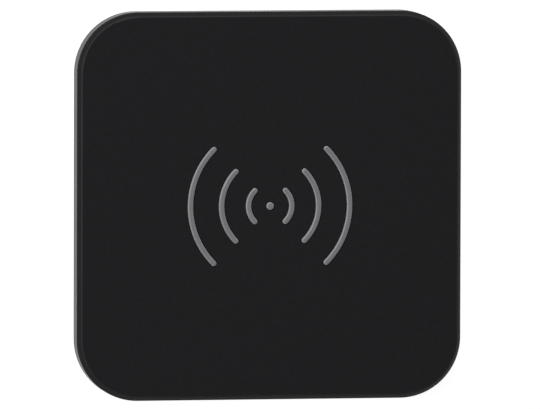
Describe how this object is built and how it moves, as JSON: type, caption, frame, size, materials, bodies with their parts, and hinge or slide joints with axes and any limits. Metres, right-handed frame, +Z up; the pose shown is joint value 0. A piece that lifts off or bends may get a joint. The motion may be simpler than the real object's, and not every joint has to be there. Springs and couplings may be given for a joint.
{
  "type": "wireless charging pad",
  "caption": "Square flat wireless charging pad with round corners, a bevelled rim, raised wave-shaped grips on the charging face, a USB-C socket and rubber feet.",
  "frame": {"origin": "centre of the plane the feet stand on, under the middle of the square", "axes": "+Z up out of the charging face, +X along the wave mark to the right, -Y towards the wall with the USB-C socket"},
  "size_m": [0.09, 0.09, 0.0077],
  "materials": {
    "cover_plastic": "fine spark-eroded matt black, soft-touch",
    "shell_plastic": "matt black, fine moulded grain",
    "grip_rubber": "mid-grey silicone, matt",
    "foot_rubber": "dark grey silicone, matt",
    "zinc_steel": "zinc plated",
    "label_film": "blank dark film, satin",
    "clear_plastic": "clear moulded acrylic",
    "led_white": "white moulded package",
    "board_laminate": "green solder mask over glass laminate",
    "socket_steel": "drawn stainless steel",
    "socket_insulator": "black moulded insulator",
    "contact_gold": "gold plated",
    "chip_epoxy": "black moulded epoxy",
    "capacitor_ceramic": "tan ceramic body",
    "litz_copper": "enamelled stranded copper",
    "adhesive_film": "double-sided adhesive",
    "ferrite_ceramic": "sintered ferrite, matt",
    "foam": "open-cell foam",
    "sensor_epoxy": "dipped epoxy bead",
    "sensor_wire": "insulated wire",
    "thermal_silicone": "soft silicone pad",
    "solder": "solder and tinned terminals"
  },
  "bodies": {
    "root": {"top_cover": "cover_plastic", "bottom_shell": "shell_plastic", "grip_dot": "grip_rubber", "grip_inner_left": "grip_rubber", "grip_inner_right": "grip_rubber", "grip_middle_left": "grip_rubber", "grip_middle_right": "grip_rubber", "grip_outer_left": "grip_rubber", "grip_outer_right": "grip_rubber", "foot_front_left": "foot_rubber", "foot_front_right": "foot_rubber", "foot_back_left": "foot_rubber", "foot_back_right": "foot_rubber", "case_screws": "zinc_steel", "board_screws": "zinc_steel", "rating_label": "label_film", "light_pipe": "clear_plastic", "indicator_led": "led_white", "circuit_board": "board_laminate", "usb_c_shell": "socket_steel", "usb_c_tongue": "socket_insulator", "usb_c_contacts": "contact_gold", "controller_ic": "chip_epoxy", "bridge_mosfets": "chip_epoxy", "power_inductor": "chip_epoxy", "tank_capacitors": "capacitor_ceramic", "input_capacitors": "capacitor_ceramic", "chip_passives": "capacitor_ceramic", "component_terminals": "solder", "coil_winding": "litz_copper", "coil_adhesive": "adhesive_film", "coil_bond_tape": "adhesive_film", "ferrite_plate": "ferrite_ceramic", "ferrite_foam_pad": "foam", "thermistor_bead": "sensor_epoxy", "thermistor_wires": "sensor_wire", "thermal_pad": "thermal_silicone", "solder_joints": "solder"}
  },
  "joints": []
}
